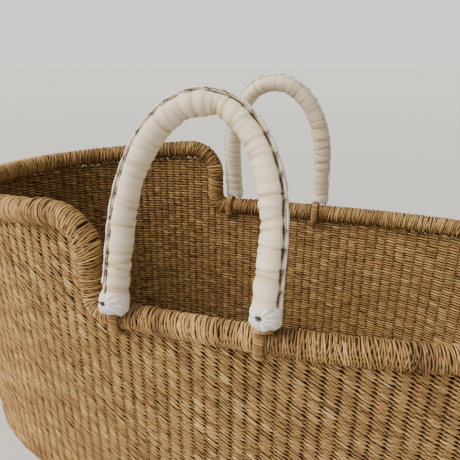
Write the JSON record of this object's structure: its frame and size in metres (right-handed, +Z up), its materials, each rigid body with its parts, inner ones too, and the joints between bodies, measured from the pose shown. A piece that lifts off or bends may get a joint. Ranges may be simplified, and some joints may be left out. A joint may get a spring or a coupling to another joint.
{
  "type": "bassinet on stand",
  "caption": "Woven grass bassinet with a raised head end and two leather-covered swinging handles, resting on a low wooden rocking stand with fold-away stop feet.",
  "frame": {"origin": "on the floor under the middle of the basket", "axes": "+X along the basket towards the foot end, +Y across it to the far side, +Z up"},
  "size_m": [0.8404, 0.5444, 0.8008],
  "materials": {
    "grass": "woven dry grass, satin",
    "grass_dark": "dry grass in shade, matt",
    "grass_binding": "wound grass straws, satin",
    "sleeve_leather": "smooth off-white leather, creased",
    "cap_leather": "bright white leather, folded",
    "thong": "dark waxed thong",
    "foam": "foam in a plain lining",
    "cotton": "plain woven cotton, matt",
    "beech": "oiled beech, satin",
    "steel": "zinc-plated, satin",
    "rubber": "matt"
  },
  "bodies": {
    "stand": {"head_rocker": "beech", "foot_rocker": "beech", "head_near_leg": "beech", "head_far_leg": "beech", "foot_near_leg": "beech", "foot_far_leg": "beech", "head_cross_rail": "beech", "foot_cross_rail": "beech", "near_side_rail": "beech", "far_side_rail": "beech", "near_cleat": "beech", "far_cleat": "beech", "slat_1": "beech", "slat_2": "beech", "slat_3": "beech", "slat_4": "beech", "slat_5": "beech", "stretcher": "beech", "leg_bolts": "steel", "slat_screws": "steel", "pivot_bolts": "steel", "pivot_nuts": "steel"},
    "basket": {"base_panel": "grass_dark", "side_wall": "grass", "rim_core": "grass_dark", "rim_binding": "grass_binding", "mattress_foam": "foam", "mattress_cover": "cotton"},
    "near_handle": {"near_handle_core": "grass_dark", "near_handle_sleeve": "sleeve_leather", "near_handle_seam": "cap_leather", "near_handle_knots": "thong", "near_head_cap": "cap_leather", "near_foot_cap": "cap_leather", "near_head_loop": "grass_binding", "near_foot_loop": "grass_binding"},
    "far_handle": {"far_handle_core": "grass_dark", "far_handle_sleeve": "sleeve_leather", "far_handle_seam": "cap_leather", "far_handle_knots": "thong", "far_head_cap": "cap_leather", "far_foot_cap": "cap_leather", "far_head_loop": "grass_binding", "far_foot_loop": "grass_binding"},
    "head_near_stop_lever": {"head_near_stop": "beech", "head_near_pad": "rubber"},
    "head_far_stop_lever": {"head_far_stop": "beech", "head_far_pad": "rubber"},
    "foot_near_stop_lever": {"foot_near_stop": "beech", "foot_near_pad": "rubber"},
    "foot_far_stop_lever": {"foot_far_stop": "beech", "foot_far_pad": "rubber"}
  },
  "joints": [
    {"name": "basket_lift", "type": "slide", "parent": "stand", "child": "basket", "axis": [0, 0, 1], "range_m": [0, 0.4]},
    {"name": "near_handle_swing", "type": "hinge", "parent": "basket", "child": "near_handle", "pos_m": [-0.03, -0.19845, 0.58], "axis": [0.9999, -0.0167, 0], "range_deg": [-42, 108]},
    {"name": "far_handle_swing", "type": "hinge", "parent": "basket", "child": "far_handle", "pos_m": [-0.03, 0.19845, 0.58], "axis": [0.9999, 0.0167, 0], "range_deg": [-102, 48]},
    {"name": "head_near_stop_fold", "type": "hinge", "parent": "stand", "child": "head_near_stop_lever", "pos_m": [-0.2314, -0.226, 0.04698], "axis": [1, 0, 0], "range_deg": [0, 150]},
    {"name": "head_far_stop_fold", "type": "hinge", "parent": "stand", "child": "head_far_stop_lever", "pos_m": [-0.2314, 0.226, 0.04698], "axis": [-1, 0, 0], "range_deg": [0, 150]},
    {"name": "foot_near_stop_fold", "type": "hinge", "parent": "stand", "child": "foot_near_stop_lever", "pos_m": [0.2314, -0.226, 0.04698], "axis": [1, 0, 0], "range_deg": [0, 150]},
    {"name": "foot_far_stop_fold", "type": "hinge", "parent": "stand", "child": "foot_far_stop_lever", "pos_m": [0.2314, 0.226, 0.04698], "axis": [-1, 0, 0], "range_deg": [0, 150]}
  ]
}
